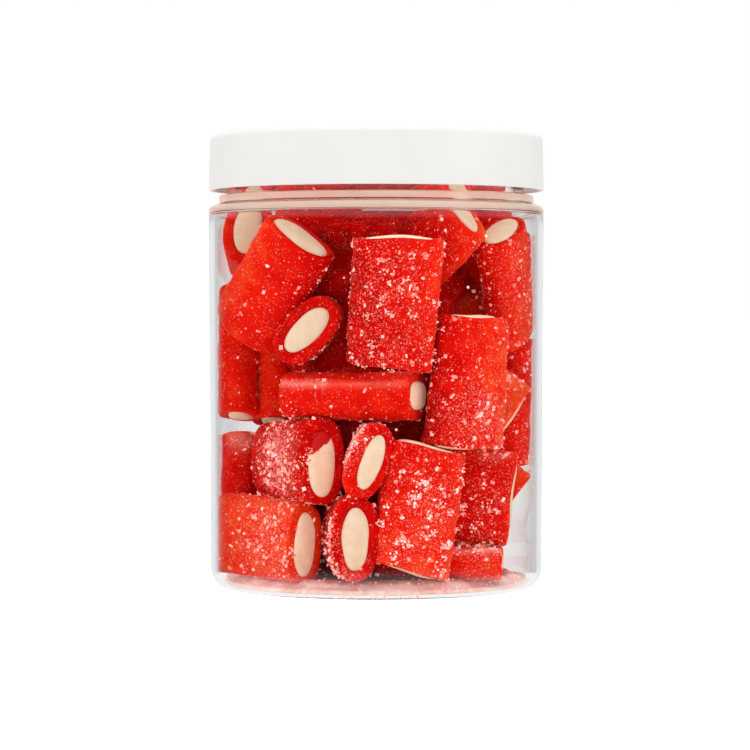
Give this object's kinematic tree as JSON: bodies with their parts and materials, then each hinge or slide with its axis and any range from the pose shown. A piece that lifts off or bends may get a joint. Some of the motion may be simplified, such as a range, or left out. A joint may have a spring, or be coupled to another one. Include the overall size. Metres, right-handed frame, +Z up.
{
  "type": "jar of sugared gummy pieces",
  "caption": "Clear straight-sided plastic jar with a shut white screw lid, full of sugared red gummy lengths that show a cream filling at their cut ends.",
  "frame": {"origin": "under the middle of the jar's base, on the plane that it stands on", "axes": "+Z up along the jar's axis; -Y is toward the side that the picture shows"},
  "size_m": [0.092, 0.092, 0.1239],
  "materials": {
    "clear_plastic": "clear, glossy",
    "white_plastic": "smooth satin white",
    "sugared_gummy": "soft translucent red, crusted with sugar"
  },
  "bodies": {
    "root": {"jar": "clear_plastic", "lid": "white_plastic", "sweets": "sugared_gummy"}
  },
  "joints": []
}
